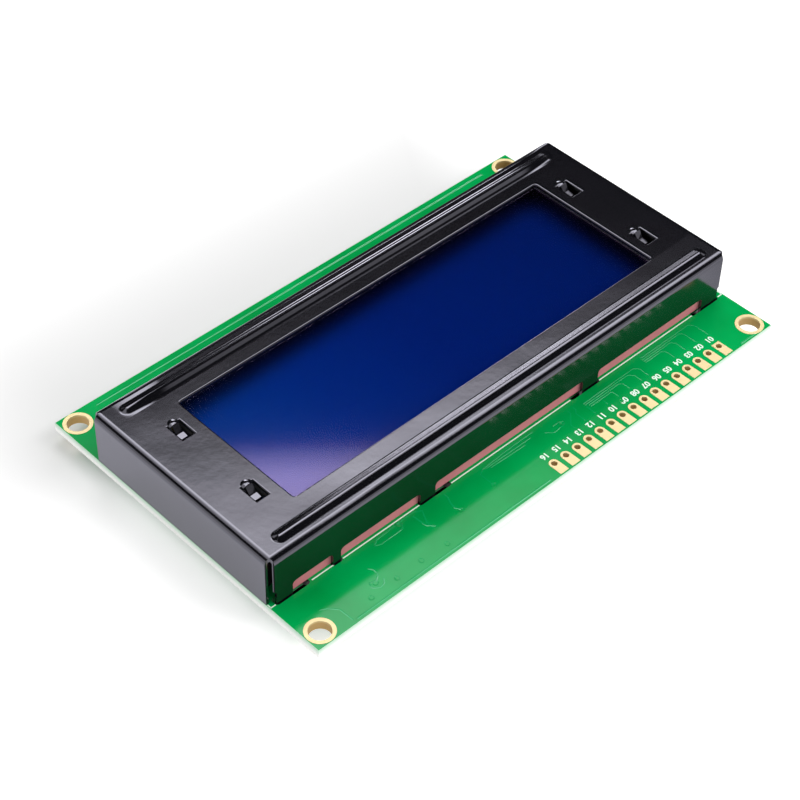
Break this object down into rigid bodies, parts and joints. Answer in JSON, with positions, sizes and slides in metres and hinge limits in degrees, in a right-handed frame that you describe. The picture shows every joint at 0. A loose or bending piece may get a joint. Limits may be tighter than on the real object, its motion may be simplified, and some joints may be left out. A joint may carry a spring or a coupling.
{
  "type": "character lcd module",
  "caption": "Character display module: flat circuit board with a folded black steel bezel round a blue display window, corner mounting holes and a row of header holes.",
  "frame": {"origin": "middle of the four mounting holes, on the back face of the board", "axes": "+Z out of the display, +X along the long side from header hole 1 to header hole 16, header on the +Y side"},
  "size_m": [0.098, 0.06, 0.0134],
  "materials": {
    "board_laminate": "glass-epoxy laminate under glossy green solder mask",
    "gold_plating": "gold flash over copper on pads and hole rings",
    "bezel_paint": "semi-gloss black paint on steel sheet",
    "polariser_film": "dark blue polariser film, glossy",
    "cell_glass": "thin clear float glass",
    "seal_epoxy": "cured sealing resin",
    "connector_rubber": "dull pink silicone rubber",
    "connector_core": "layered carbon and silicone rubber",
    "frame_plastic": "black moulded plastic",
    "reflector_film": "white reflecting film",
    "guide_acrylic": "clear moulded acrylic",
    "diffuser_film": "translucent white film",
    "led_board_laminate": "white masked glass-epoxy laminate",
    "led_package": "white package with a yellow lens",
    "tinned_wire": "tinned wire",
    "solder": "bright solder",
    "silicon": "silicon",
    "blob_epoxy": "black epoxy, satin",
    "resistor_ceramic": "alumina chip with a black glazed top",
    "capacitor_ceramic": "brown ceramic chip"
  },
  "bodies": {
    "root": {"main_board": "board_laminate", "mounting_rings": "gold_plating", "header_pads": "gold_plating", "bezel": "bezel_paint", "front_polariser": "polariser_film", "front_glass": "cell_glass", "cell_seal": "seal_epoxy", "fill_port_plug": "seal_epoxy", "rear_glass": "cell_glass", "rear_polariser": "polariser_film", "connector_sides": "connector_rubber", "connector_cores": "connector_core", "backlight_frame": "frame_plastic", "reflector_sheet": "reflector_film", "light_guide": "guide_acrylic", "diffuser_sheet": "diffuser_film", "led_board": "led_board_laminate", "leds": "led_package", "backlight_leads": "tinned_wire", "lead_solder": "solder", "controller_die": "silicon", "driver_dies": "silicon", "controller_blob": "blob_epoxy", "driver_blobs": "blob_epoxy", "chip_resistors": "resistor_ceramic", "chip_capacitors": "capacitor_ceramic"}
  },
  "joints": []
}
